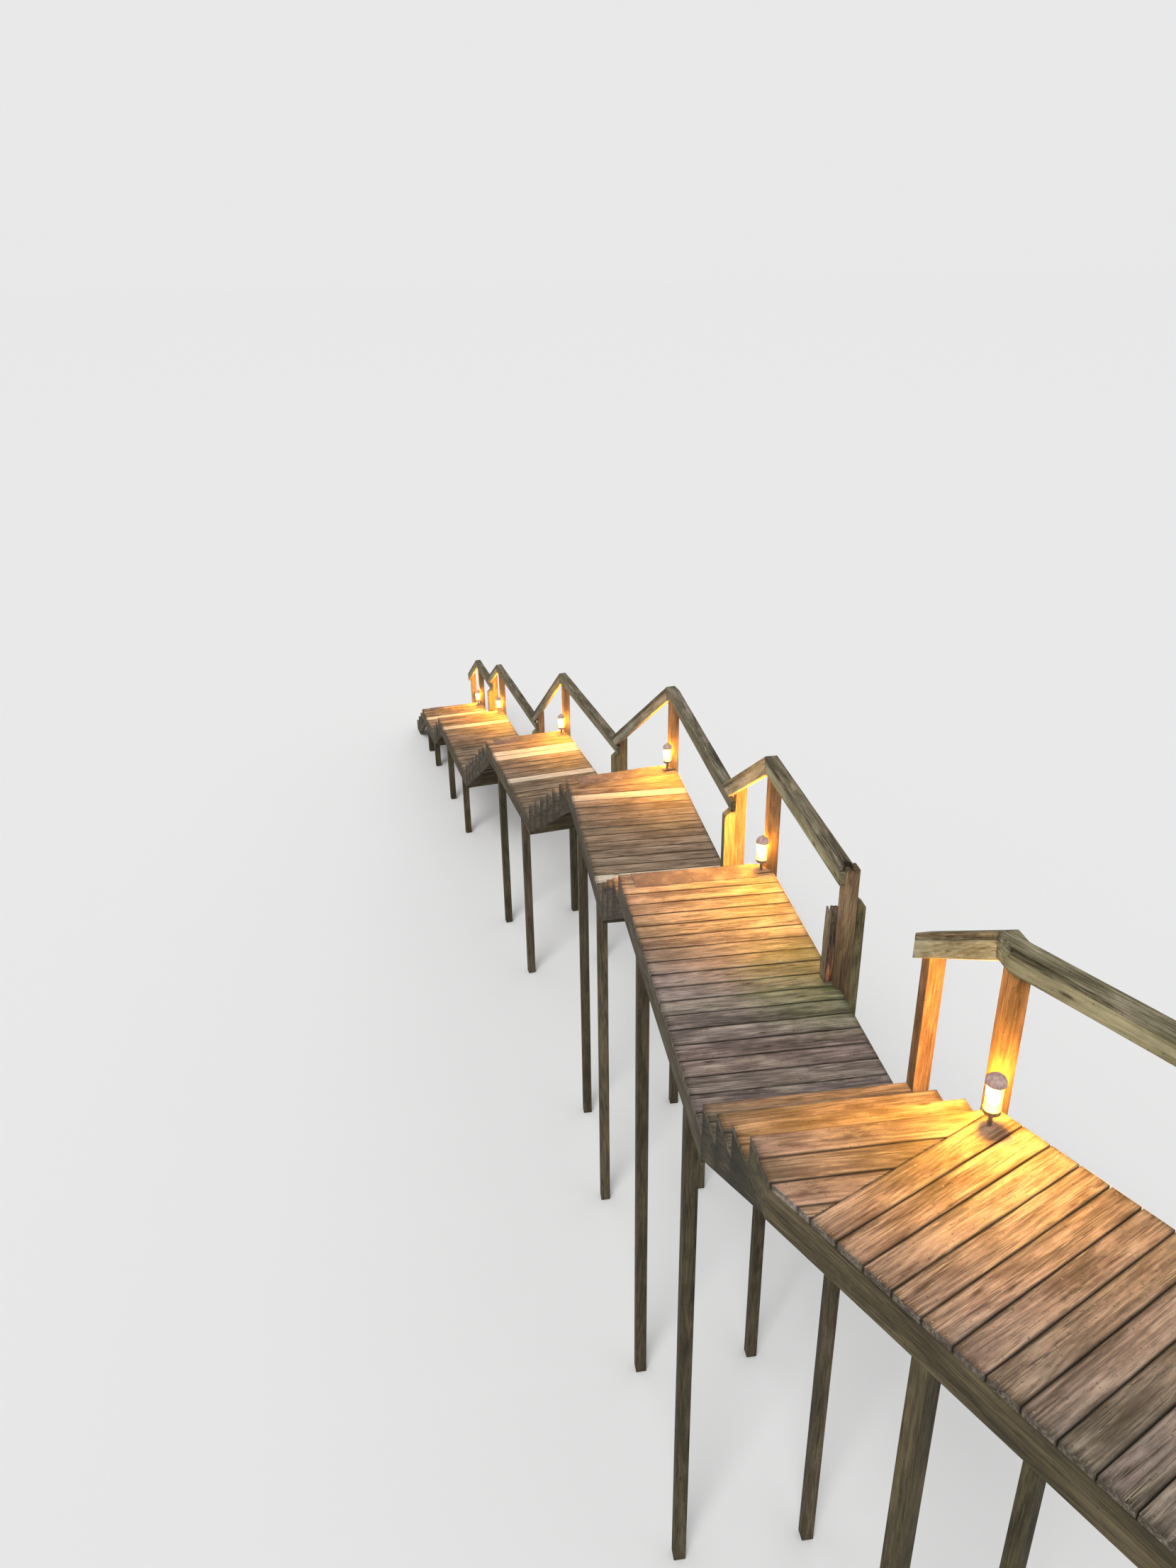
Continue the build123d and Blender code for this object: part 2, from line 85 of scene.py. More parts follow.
# How many steps each landing lies below landing A
STEPS_DOWN = {"z": -4, "a": 0, "b": 4, "c": 11, "d": 18, "e": 21}
# Where landing Z ends and where the lower stretch turns off, along the stairs from landing A's corner
UPPER_BEND = -3.605
LOWER_BEND = 3.315
# Boards that were put in later and are still pale
NEW_BOARDS = {"z": (), "a": (), "b": (3, 14), "c": (3, 4, 9), "d": (3,), "e": (3,)}

# Nails on a board, from the far corner of its row: over the three joists, and two abreast
MIDDLE_JOIST = -0.5725
NAIL_LINES = (-0.02, MIDDLE_JOIST, -1.125)
NAIL_PAIR = (-0.035, -0.105)

# Rotted parts, in boxes and places measured from landing A's corner
CAP = ((-0.08, -1.64, 0.84), (0.03, 0.05, 0.9))
CAP_END = ((-0.08, -1.64, 0.84), (0.03, -1.529, 0.9))
TEAR_START = -1.53
TEAR_REACH = 0.1
TEAR_COLUMNS = (-0.034, -0.031, -0.026, -0.019, -0.012, -0.005, 0.001, 0.006, 0.01, 0.013)
BROKEN_POST = ((-0.09, -1.56, -0.01), (0.004, -1.455, 0.55))
BROKEN_POST_MIDDLE = (-0.041, -1.5065)
SPLIT = -0.0605
SPLIT_COLUMNS = (-0.073, -0.067, -0.063, -0.058, -0.053, -0.042, -0.03, -0.018)
SPLIT_ROWS = (-1.53, -1.51, -1.49)

# A lamp's bulb and light, from its landing's far corner
BULB = (-0.084, -0.1, 0.162)
LIGHT = (-0.084, -0.065, 0.17)
LAMP_STRENGTH = 480.0
# How a lamp's light starts off, how much it grows on the way, how far it reaches and how fast it ends
WIDE_LAMP = (0.25, 1.0, 1.18, 4.0)
SMALL_LAMP = (0.85, 0.0, 1.05, 2.5)

# The photograph's view: the eye from landing A's corner, its turn, tilt and roll in degrees, its lens in mm
EYE = Vector((-2.353, -7.466, 4.373))
TURN, TILT, ROLL = -7.58, -25.58, -0.94
LENS, SENSOR = 35.93, 36
SUN_WAY = Vector((0.3, 0.6, -0.74))
BACKDROP = (0.812, 0.812, 0.812, 1)


def place(name, y, turn):
    """A frame on the handrail edge at a landing's level, its y axis running down the stairs."""
    level = CORNER.z - STEPS_DOWN[name] * RISER
    return Matrix.Translation((CORNER.x, CORNER.y + y, level)) @ Matrix.Rotation(radians(turn), 4, "Z")


def on_lower(name, y):
    """The same on the lower stretch."""
    return place(name, LOWER_BEND, 8.8) @ Matrix.Translation((0, y, 0))


# Frames that the rows of boards are counted from, and how many rows each landing has
ROWS = {
    "z": (place("z", UPPER_BEND, 26), 17),
    "a": (place("a", 0, 0), 19),
    "b": (place("b", LOWER_BEND, 0), 17),
    "c": (on_lower("c", 4.3), 17),
    "d": (on_lower("d", 8.47), 17),
    "e": (on_lower("e", 10.34), 9),
}
# Each landing's far corner on the handrail side, where its lamp stands and its flight starts
FAR_CORNERS = {name: ROWS[name][0] for name in LANDINGS}
FAR_CORNERS["z"] = place("z", UPPER_BEND, 0)
FAR_CORNERS["b"] = on_lower("b", 0.13)


# Node building

def tint(red, green, blue):
    """A colour as it looks on a screen, each part from 0 to 255."""
    parts = [v / 255 for v in (red, green, blue)]
    return tuple(((v + 0.055) / 1.055) ** 2.4 if v > 0.04 else v / 12.92 for v in parts) + (1,)


# What covers the timbers
DIRT = tint(74, 65, 57)
DAMP_DIRT = tint(70, 61, 52)
BLEACH = tint(196, 178, 160)
SPECK = tint(48, 38, 28)
EDGE_GRIME = tint(36, 29, 21)
END_GRIME = tint(56, 48, 36)
DRIP = tint(38, 34, 24)
KNOT = tint(66, 46, 32)
CRACK = tint(30, 24, 18)
LIFTED = tint(208, 196, 172)
# What moss does to the colour under it
GREEN_FILM = (0.72, 0.95, 0.52, 1)

# Each kind of timber: the dark, middle and pale shades of its grain, then how worn it is
TIMBERS = {
    "deck_boards": (
        (86, 75, 70), (130, 114, 109), (176, 160, 154),
        dict(moss=0.0, bleached=0.5, edges=0.85)),
    "damp_deck_boards": (
        (92, 75, 61), (142, 117, 97), (180, 156, 132),
        dict(moss=0.05, bleached=0.25, edges=0.85)),
    "tread_boards": (
        (78, 66, 56), (116, 100, 88), (156, 139, 126),
        dict(moss=0.05, bleached=0.3, edges=0.6)),
    "frame_timber": (
        (46, 40, 30), (76, 66, 50), (106, 93, 72),
        dict(moss=0.1, dirt=0.3, bleached=0.05)),
    "leg_timber": (
        (50, 43, 32), (76, 66, 49), (102, 90, 69),
        dict(moss=0.1, dirt=0.3, bleached=0.05)),
    "rail_timber": (
        (122, 112, 86), (166, 154, 122), (198, 186, 152),
        dict(moss=0.05, dirt=0.35)),
    "sloped_rail_timber": (
        (140, 131, 106), (186, 176, 148), (214, 204, 178),
        dict(moss=0.05, dirt=0.35)),
    "cap_timber": (
        (84, 75, 56), (128, 116, 92), (176, 164, 138),
        dict(moss=0.05, cracks=0.95, crack_width=0.03, bleached=0.6)),
    "post_timber": (
        (98, 76, 54), (140, 110, 80), (170, 142, 110),
        dict(moss=0.0, dirt=0.3, bleached=0.1)),
    "old_timber": (
        (94, 84, 62), (130, 118, 88), (156, 144, 116),
        dict(moss=0.1, dirt=0.3, bleached=0.05)),
}


def start(name):
    """A new material, its nodes and its shader."""
    material = bpy.data.materials.new(name)
    material.use_nodes = True
    return material, material.node_tree, material.node_tree.nodes["Principled BSDF"]


def give(tree, socket, value):
    """Links or sets an input. None leaves it alone."""
    if isinstance(value, bpy.types.NodeSocket):
        tree.links.new(value, socket)
    elif value is not None:
        socket.default_value = value


def add(tree, kind, *values, **settings):
    """A node whose inputs are linked or set in order."""
    node = tree.nodes.new("ShaderNode" + kind)
    for key, value in settings.items():
        setattr(node, key, value)
    for socket, value in zip(node.inputs, values):
        give(tree, socket, value)
    return node


def calc(tree, operation, *values, clamp=False):
    return add(tree, "Math", *values, operation=operation, use_clamp=clamp).outputs[0]


def times(tree, a, b, clamp=False):
    return calc(tree, "MULTIPLY", a, b, clamp=clamp)


def stretch(tree, vector, *scale):
    return add(tree, "VectorMath", vector, scale, operation="MULTIPLY").outputs[0]


def cloudy(tree, vector, scale, detail=4.0, rough=0.6):
    return add(tree, "TexNoise", vector, None, scale, detail, rough).outputs["Fac"]


def ranged(tree, value, low, high, first=0.0, last=1.0):
    return add(tree, "MapRange", value, low, high, first, last).outputs[0]


def blend(tree, share, a, b, kind="MIX"):
    node = tree.nodes.new("ShaderNodeMix")
    node.data_type = "RGBA"
    node.blend_type = kind
    # A colour mix has its share, first and second colour at these places
    for index, value in ((0, share), (6, a), (7, b)):
        give(tree, node.inputs[index], value)
    return node.outputs[2]


def ramp(tree, value, *stops):
    node = add(tree, "ValToRGB", value)
    elements = node.color_ramp.elements
    while len(elements) < len(stops):
        elements.new(0.5)
    for element, (where, colour) in zip(elements, stops):
        element.position = where
        element.color = colour
    return node.outputs[0]


def spread(tree, name):
    """A vector kept on the mesh, and its three parts."""
    found = add(tree, "Attribute", attribute_name=name).outputs["Vector"]
    parts = add(tree, "SeparateXYZ", found).outputs
    return found, parts[0], parts[1], parts[2]


def object_spot(tree):
    return add(tree, "TexCoord").outputs["Object"]


def roughen(tree, shader, height, strength, depth):
    """Fine relief in a surface, its depth in metres."""
    bump = tree.nodes.new("ShaderNodeBump")
    bump.inputs["Strength"].default_value = strength
    bump.inputs["Distance"].default_value = depth
    tree.links.new(height, bump.inputs["Height"])
    tree.links.new(bump.outputs[0], shader.inputs["Normal"])


# Materials

def threads(tree, vector, along, across, width):
    """Thin lines along the grain that come and go."""
    line = cloudy(tree, stretch(tree, vector, along, across, across), 1, 3, 0.5)
    off = calc(tree, "ABSOLUTE", calc(tree, "SUBTRACT", line, 0.5))
    some = ranged(tree, cloudy(tree, stretch(tree, vector, 0.9, 14, 14), 1, 2, 0.5), 0.46, 0.58)
    return times(tree, ranged(tree, off, 0.0, width, 1.0, 0.0), some)


def weathered(name, dark, middle, pale, moss=0.2, cracks=0.7, dirt=0.55, crack_width=0.016,
              bleached=0.2, edges=0.2):
    """Old outdoor softwood. The grain follows each timber's own length, and differs from timber to timber."""
    material, tree, shader = start(name)
    grain, _, across, _ = spread(tree, "grain")
    board, tone, hue, half = spread(tree, "board")
    _, fresh, green, rot = spread(tree, "wear")
    end = add(tree, "Attribute", attribute_name="end").outputs["Fac"]
    apart = stretch(tree, board, 41, 23, 0)
    shifted = add(tree, "VectorMath", grain, apart, operation="ADD").outputs[0]
    spot = object_spot(tree)

    # Fine fibres, broad streaks and the arcs of the yearly rings
    fine = cloudy(tree, stretch(tree, shifted, 4.5, 60, 60), 1, 8, 0.75)
    wide = cloudy(tree, stretch(tree, shifted, 1.6, 12, 12), 1, 4, 0.6)
    arcs = cloudy(tree, stretch(tree, shifted, 0.45, 5, 5), 1, 2, 0.4)
    rings = calc(tree, "SINE", times(tree, arcs, 130))
    streak = calc(tree, "ADD", times(tree, fine, 0.55), times(tree, wide, 0.45))
    streak = calc(tree, "ADD", streak, times(tree, rings, 0.03))
    colour = ramp(tree, streak, (0.38, tint(*dark)), (0.49, tint(*middle)), (0.61, tint(*pale)))

    # Paler and darker boards, some browner and some greener
    shade = ramp(tree, tone, (0, (0.78, 0.78, 0.78, 1)), (1, (1.1, 1.1, 1.1, 1)))
    colour = blend(tree, 1, colour, shade, "MULTIPLY")
    cast = ramp(tree, hue, (0, (1, 0.95, 0.9, 1)), (0.6, (1, 1, 1, 1)), (1, (0.96, 1, 0.88, 1)))
    colour = blend(tree, 1, colour, cast, "MULTIPLY")

    # Pale replacement boards
    new = ramp(tree, streak, (0.4, tint(216, 194, 168)), (0.6, tint(246, 230, 210)))
    colour = blend(tree, fresh, colour, new)

    # Dirt in patches, less of it on the new boards, then bleached places and specks
    patch = cloudy(tree, spot, 1.9, 5, 0.62)
    blot = cloudy(tree, stretch(tree, shifted, 2.4, 7, 7), 1, 5, 0.65)
    stain = calc(tree, "SUBTRACT", 1.0, times(tree, fresh, 0.8))
    for marks, low, high, soil in ((blot, 0.5, 0.68, DIRT), (patch, 0.52, 0.72, DAMP_DIRT)):
        share = times(tree, ranged(tree, marks, low, high, 0.0, dirt), stain)
        colour = blend(tree, share, colour, soil)
    colour = blend(tree, ranged(tree, blot, 0.48, 0.34, 0.0, bleached), colour, BLEACH)
    specks = ranged(tree, cloudy(tree, spot, 62, 2, 0.5), 0.66, 0.74, 0.0, 0.6)
    colour = blend(tree, specks, colour, SPECK)

    # Dark edges, ends and drips
    edge = calc(tree, "SUBTRACT", half, calc(tree, "ABSOLUTE", across))
    colour = blend(tree, ranged(tree, edge, 0.0, 0.011, edges, 0.0), colour, EDGE_GRIME)
    ragged = calc(tree, "ADD", end, times(tree, fine, 0.08))
    colour = blend(tree, ranged(tree, ragged, 0.035, 0.075, 0.7, 0.0), colour, END_GRIME)
    colour = blend(tree, ranged(tree, rot, 0.0, -1.0, 0.0, 0.85), colour, DRIP)

    # Knots
    knots = add(tree, "TexVoronoi", stretch(tree, shifted, 2.6, 11, 11), None, 1.0).outputs["Distance"]
    colour = blend(tree, ranged(tree, knots, 0.05, 0.13, 0.8, 0.0), colour, KNOT)

    # Long drying cracks and pale raised fibres
    crack = threads(tree, shifted, 1.0, 62, crack_width)
    colour = blend(tree, times(tree, crack, cracks), colour, CRACK)
    lifted = threads(tree, stretch(tree, shifted, 1, -1, 1), 1.3, 70, 0.026)
    colour = blend(tree, times(tree, lifted, bleached), colour, LIFTED)

    # Rot, greyish, and crumbled to bright brown where it is worst
    fibre = cloudy(tree, stretch(tree, shifted, 5, 90, 90), 1, 4, 0.7)
    rotten = ramp(tree, fibre, (0.38, tint(52, 44, 40)), (0.5, tint(98, 84, 74)),
                  (0.62, tint(140, 124, 110)))
    crumbled = ramp(tree, fibre, (0.38, tint(70, 42, 34)), (0.5, tint(156, 98, 74)),
                    (0.62, tint(222, 164, 128)))
    rotten = blend(tree, ranged(tree, rot, 0.5, 1.0), rotten, crumbled)
    colour = blend(tree, ranged(tree, rot, 0.0, 0.5), colour, rotten)

    # Moss, a thin film and then tufts
    tufts = cloudy(tree, spot, 34, 5, 0.7)
    growth = calc(tree, "ADD", green, moss)
    film = times(tree, growth, ranged(tree, blot, 0.38, 0.6, 0.55, 1.0), clamp=True)
    colour = blend(tree, film, colour, blend(tree, 1, colour, GREEN_FILM, "MULTIPLY"))
    growth = times(tree, growth, ranged(tree, patch, 0.42, 0.62))
    cover = times(tree, growth, ranged(tree, tufts, 0.42, 0.64), clamp=True)
    mossy = ramp(tree, tufts, (0.4, tint(66, 66, 34)), (0.7, tint(128, 126, 66)))
    colour = blend(tree, times(tree, cover, 0.7), colour, mossy)

    tree.links.new(colour, shader.inputs["Base Color"])
    tree.links.new(ranged(tree, fine, 0.3, 0.7, 0.92, 0.74), shader.inputs["Roughness"])
    shader.inputs["Specular IOR Level"].default_value = 0.25
    relief = calc(tree, "ADD", fine, times(tree, cover, 0.6))
    relief = calc(tree, "SUBTRACT", relief, times(tree, crack, 1.4))
    roughen(tree, shader, relief, 0.8, 0.003)
    return material


def worn_mat():
    """Gritty rubber mat, purple grey, faded and chipped."""
    material, tree, shader = start("worn_mat")
    spot = object_spot(tree)
    grit = cloudy(tree, spot, 420, 2, 0.6)
    fade = cloudy(tree, spot, 6, 5, 0.65)
    chips = cloudy(tree, spot, 24, 5, 0.7)
    colour = ramp(tree, fade, (0.35, tint(88, 76, 77)), (0.55, tint(110, 95, 93)),
                  (0.72, tint(148, 130, 122)))
    colour = blend(tree, ranged(tree, grit, 0.5, 0.66, 0, 0.5), colour, tint(62, 52, 52))
    colour = blend(tree, ranged(tree, chips, 0.58, 0.68, 0, 0.6), colour, tint(150, 134, 118))
    tree.links.new(colour, shader.inputs["Base Color"])
    shader.inputs["Roughness"].default_value = 0.9
    roughen(tree, shader, grit, 0.6, 0.0015)
    return material


def marked(name, scale, dark, pale):
    """A material with faint marks in two shades."""
    material, tree, shader = start(name)
    marks = cloudy(tree, object_spot(tree), scale, 4, 0.6)
    tree.links.new(ramp(tree, marks, (0.4, dark), (0.65, pale)), shader.inputs["Base Color"])
    return material, tree, shader, marks


def lamp_metal():
    material, tree, shader, marks = marked("dull_metal", 60, tint(120, 108, 96), tint(176, 164, 150))
    shader.inputs["Metallic"].default_value = 0.85
    tree.links.new(ranged(tree, marks, 0.3, 0.7, 0.38, 0.6), shader.inputs["Roughness"])
    return material


def shade_plastic():
    material, _, shader, _ = marked("sun_faded_plastic", 45, tint(172, 140, 132), tint(206, 178, 168))
    shader.inputs["Roughness"].default_value = 0.6
    return material


def show_unshaded(tree, surface):
    """Shows a surface that lets the lamp's own light through."""
    clear = add(tree, "BsdfTransparent")
    path = add(tree, "LightPath").outputs["Is Shadow Ray"]
    both = add(tree, "MixShader", path, surface.outputs[0], clear.outputs[0])
    tree.links.new(both.outputs[0], tree.nodes["Material Output"].inputs["Surface"])


def lit_bulb():
    material, tree, shader = start("lit_bulb")
    show_unshaded(tree, add(tree, "Emission", tint(255, 236, 170), 14.0))
    tree.nodes.remove(shader)
    return material


def lamp_glass():
    """Clear glass, lit through from inside and deeper in colour towards its rims."""
    material, tree, shader = start("lit_glass")
    shader.inputs["Base Color"].default_value = tint(255, 226, 170)
    shader.inputs["Roughness"].default_value = 0.08
    shader.inputs["Transmission Weight"].default_value = 1.0
    shader.inputs["IOR"].default_value = 1.1
    rim = add(tree, "LayerWeight", 0.35).outputs["Facing"]
    glow = ramp(tree, rim, (0.1, tint(255, 228, 120)), (0.7, tint(255, 150, 36)))
    tree.links.new(glow, shader.inputs["Emission Color"])
    shader.inputs["Emission Strength"].default_value = 1.9
    show_unshaded(tree, shader)
    return material


# Timbers

def merged(node):
    """A copy of a node's mesh with its triangles joined into flat faces."""
    whole = bmesh.new()
    whole.from_mesh(frame["nodes"][node].data)
    bmesh.ops.remove_doubles(whole, verts=whole.verts, dist=1e-5)
    bmesh.ops.dissolve_limit(whole, angle_limit=0.01, verts=whole.verts, edges=whole.edges)
    return whole


def timbers(whole):
    """The separate timbers of a mesh, each as a list of its faces."""
    found, taken = [], set()
    for first in whole.faces:
        if first in taken:
            continue
        taken.add(first)
        group = [first]
        for face in group:
            for edge in face.edges:
                for other in edge.link_faces:
                    if other not in taken:
                        taken.add(other)
                        group.append(other)
        found.append(group)
    return found


def edges_of(faces):
    """The edges of some faces, always in the same order."""
    return list(dict.fromkeys(edge for face in faces for edge in face.edges))


def verts_of(faces):
    return list(dict.fromkeys(vert for face in faces for vert in face.verts))


def only_verts(parts):
    return [part for part in parts if isinstance(part, bmesh.types.BMVert)]


def measure(faces):
    """A timber's own axes, lengthways, across and through, with its middle and half sizes along them."""
    edges = edges_of(faces)
    longest = max(edges, key=lambda edge: edge.calc_length())
    lengthways = (longest.verts[1].co - longest.verts[0].co).normalized()
    widest, reach = None, 0.0
    for edge in edges:
        side = edge.verts[1].co - edge.verts[0].co
        side -= lengthways * side.dot(lengthways)
        if side.length > reach:
            widest, reach = side.normalized(), side.length
    axes = Matrix((lengthways, widest, lengthways.cross(widest)))
    spots = [axes @ vert.co for face in faces for vert in face.verts]
    low = Vector([min(spot[i] for spot in spots) for i in range(3)])
    high = Vector([max(spot[i] for spot in spots) for i in range(3)])
    return axes, (low + high) / 2, (high - low) / 2


def cut_along(whole, faces, axes, middle, half, spacing):
    """Cross cuts along a timber, so that it can bend."""
    geometry = faces + edges_of(faces) + verts_of(faces)
    count = int(2 * half.x / spacing)
    for index in range(1, count):
        along = middle.x - half.x + 2 * half.x * index / count
        where = axes.transposed() @ Vector((along, middle.y, middle.z))
        result = bmesh.ops.bisect_plane(whole, geom=geometry, plane_co=where, plane_no=axes[0], dist=1e-5)
        geometry = result["geom"]
    return only_verts(geometry)


def inside(spot):
    """The nearest point that is still in the object's box."""
    return Vector([min(max(spot[i], cad_box[0][i]), cad_box[1][i]) for i in range(3)])


def stand(name, whole, finish):
    """A visible piece made from a finished mesh."""
    mesh = bpy.data.meshes.new(name)
    whole.to_mesh(mesh)
    whole.free()
    piece = bpy.data.objects.new(name, mesh)
    bpy.context.scene.collection.objects.link(piece)
    mesh.materials.append(finish)
    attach(piece, "root")
    return piece


def bend(whole, spacing, wave):
    """Slight bends in each timber. Returns where the timbers' middles are and how each one lies."""
    known = []
    for faces in timbers(whole):
        axes, middle, half = measure(faces)
        seed = axes.transposed() @ middle
        known.append((seed, axes, middle, half))
        for vert in cut_along(whole, faces, axes, middle, half, spacing):
            spot = axes @ vert.co
            push = noise.noise_vector(Vector((spot.x * 2.5, spot.y * 11, spot.z * 11)) + seed * 7) * wave
            vert.co = inside(vert.co + axes.transposed() @ push)
    return known


def mark(whole, known, wear):
    """Notes on each vertex where in its timber it is, how that timber looks and how worn it is there."""
    grain = whole.verts.layers.float_vector.new("grain")
    board = whole.verts.layers.float_vector.new("board")
    worn = whole.verts.layers.float_vector.new("wear")
    ends = whole.verts.layers.float.new("end")
    for faces in timbers(whole):
        verts = verts_of(faces)
        centre = sum((vert.co for vert in verts), Vector()) / len(verts)
        seed, axes, middle, half = min(known, key=lambda each: (each[0] - centre).length)
        chance = noise.cell_vector(seed * 9.7)
        for vert in verts:
            vert[grain] = axes @ vert.co - middle
            vert[ends] = half.x - abs(vert[grain].x)
            vert[board] = Vector((chance.x, chance.y, half.y))
            vert[worn] = Vector(wear(vert.co, seed)) if wear else Vector((0, 0, 0))


def rework(node, finish, spacing=0.2, wave=0.0014, edge=0.0035, wear=None, cuts=(), shape=None):
    """A worn copy of a node's timbers, with eased edges and slight bends, that stands for the node."""
    whole = merged(node)
    known = bend(whole, spacing, wave)
    for where, facing in cuts:
        everything = list(whole.verts) + list(whole.edges) + list(whole.faces)
        bmesh.ops.bisect_plane(whole, geom=everything, plane_co=where, plane_no=facing, dist=1e-5)
    sharp = [each for each in whole.edges if each.calc_face_angle(0) > 0.45]
    bmesh.ops.bevel(whole, geom=sharp, offset=edge, segments=2, profile=0.5, affect="EDGES",
                    clamp_overlap=True, material=-1)
    if shape:
        shape(whole)
    mark(whole, known, wear)
    piece = stand(node + "_worn", whole, finish)
    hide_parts(node)


# Wear. Each gives how new, how green and how rotted a place is, with drips and other darkening below zero

def mossy_corner(spot):
    """How green the timber is: most beside landing A's broken post, and a little on the highest landing."""
    near = Vector((CORNER.x - 0.1, CORNER.y - 1.5, CORNER.z))
    corner = max(0.0, 1 - (spot - near).length / 0.65)
    high = 0.15 if spot.y < CORNER.y - 2.8 else 0.0
    return min(1.0, 2.0 * corner + high)


def deck_wear(name):
    """Wear of a landing's boards: which are new, and how mossy each is."""
    back = ROWS[name][0].inverted()

    def wear(spot, seed):
        row = int(-(back @ seed).y / PITCH)
        fresh = 0.85 if row in NEW_BOARDS[name] and (back @ seed).y < 0 else 0.0
        return (fresh, mossy_corner(spot) * (1 - fresh), 0.0)
    return wear


def plain_wear(spot, seed):
    return (0.0, mossy_corner(spot), 0.0)


def rail_wear(spot, seed):
    """The rails further down are darker."""
    return (0.0, mossy_corner(spot), -0.5 if seed.y > CORNER.y + 1.0 else 0.0)


def cap_wear(spot, seed):
    """Dark rot round the torn end of landing A's cap."""
    local = spot - CORNER
    if -1.65 < local.y < -1.55 and -0.036 < local.x < 0.016:
        return (0.0, 0.0, -1.0)
    return rail_wear(spot, seed)


def post_wear(spot, seed):
    """Landing A's near post is darker towards its foot."""
    near = abs(seed.y - CORNER.y + 1.6) < 0.1
    return (0.0, 0.0, -0.5 * max(0.0, 1 - (spot.z - CORNER.z) / 0.45) if near else 0.0)


def old_wear(spot, seed):
    """Rot in landing A's broken post, brightest at its foot. The other old posts are green."""
    local = spot - CORNER
    if -1.57 < local.y < -1.45 and -0.12 < local.x < 0.02:
        if local.x < -0.072 + 0.02 * local.z:
            return (0.12, 0.0, 0.12)
        return (0.0, 0.0, min(1.0, 0.5 + 0.6 * max(0.0, 1 - local.z / 0.3)))
    return (0.0, 0.15, 0.0)


def dripping(flight):
    """Dark streaks down a stringer under the front of each tread."""
    back = flight.inverted()

    def wear(spot, seed):
        step = ((back @ spot).y / RUN) % 1.0
        drip = -1.0 if step > 0.97 or step < 0.03 else -0.35 if step < 0.3 else 0.0
        return (0.0, mossy_corner(spot), drip)
    return wear


def step_lines(flight):
    """Upright planes at and beside the front of each tread of a flight, where the streaks start and end."""
    facing = flight.to_3x3() @ Vector((0, 1, 0))
    return [(flight @ Vector((0, RUN * step + aside, 0)), facing)
            for step in range(1, 7) for aside in (-0.004, 0.04, 0.12)]


# Damage

def within(whole, box):
    """The parts of a mesh that lie wholly in a box measured from landing A's corner."""
    low, high = box
    verts = [vert for vert in whole.verts
             if all(low[i] < vert.co[i] - CORNER[i] < high[i] for i in range(3))]
    held = set(verts)
    edges = [edge for edge in whole.edges if all(vert in held for vert in edge.verts)]
    faces = [face for face in whole.faces if all(vert in held for vert in face.verts)]
    return verts + edges + faces


def slice_up(whole, box, axis, places):
    """Cuts across one axis through the parts of a mesh in a box."""
    for each in places:
        where, facing = Vector(CORNER), Vector()
        where[axis] += each
        facing[axis] = 1.0
        bmesh.ops.bisect_plane(whole, geom=within(whole, box), plane_co=where, plane_no=facing, dist=1e-5)
    return only_verts(within(whole, box))


def tear_cap(whole):
    """The near end of landing A's cap, rotted away behind a sound inner edge."""
    slice_up(whole, CAP, 1, (TEAR_START,))
    for vert in slice_up(whole, CAP_END, 0, TEAR_COLUMNS):
        local = vert.co - CORNER
        depth = 0.003
        if -0.0325 < local.x < 0.0115:
            depth = 0.056 + 0.02 * noise.noise(Vector((local.x * 95, local.z * 40, 2.0)))
        vert.co.y += depth * (TEAR_START - local.y) / TEAR_REACH


def break_post(whole):
    """Landing A's rotted post: a split top, a frayed face and a foot half eaten away."""
    slice_up(whole, BROKEN_POST, 2, [0.025 * index for index in range(1, 21)])
    slice_up(whole, BROKEN_POST, 1, SPLIT_ROWS)
    for vert in slice_up(whole, BROKEN_POST, 0, SPLIT_COLUMNS):
        local = vert.co - CORNER
        sound = min(1.0, max(0.0, (local.z - 0.02) / 0.3)) ** 1.5
        frayed = noise.noise(Vector((local.x * 90, local.y * 60, local.z * 9))) * 0.005 * (1.6 - sound)
        middle_x, middle_y = BROKEN_POST_MIDDLE
        outward = Vector((local.x - middle_x, local.y - middle_y, 0)).normalized()
        hollow = 0.007 if local.y < -1.545 and -0.072 < local.x < -0.012 else 0.0
        shift = outward * (frayed - 0.003 * (1 - sound))
        shift.y += hollow * (0.6 + 0.8 * sound)
        shift.x -= (local.x + 0.082) * 0.2 * (1 - sound)
        shift.x += 0.02 * local.z
        if local.z > 0.44:
            slot = 0.075 * max(0.0, 1 - abs(local.x - SPLIT) / 0.007)
            slant = 0.6 * max(0.0, local.x + 0.02)
            ragged = 0.012 * max(0.0, noise.noise(local * 70))
            shift.z = -slot - slant - ragged
        vert.co = inside(vert.co + shift)


def slope_tops(whole):
    """The far posts' tops are worn to a slope outside the cap."""
    for corner in FAR_CORNERS.values():
        back = corner.inverted()
        for vert in whole.verts:
            local = back @ vert.co
            if 0.7 < local.z < 1.0 and -0.1 < local.y < 0.15 and 0.04 < local.x < 0.07:
                vert.co.z -= 0.035


def fray(whole):
    """Uneven mat edges."""
    for vert in whole.verts:
        push = noise.noise_vector(vert.co * 38) * 0.004 + noise.noise_vector(vert.co * 9) * 0.004
        vert.co = inside(vert.co + Vector((push.x, push.y, 0)))


# Small parts and lamps

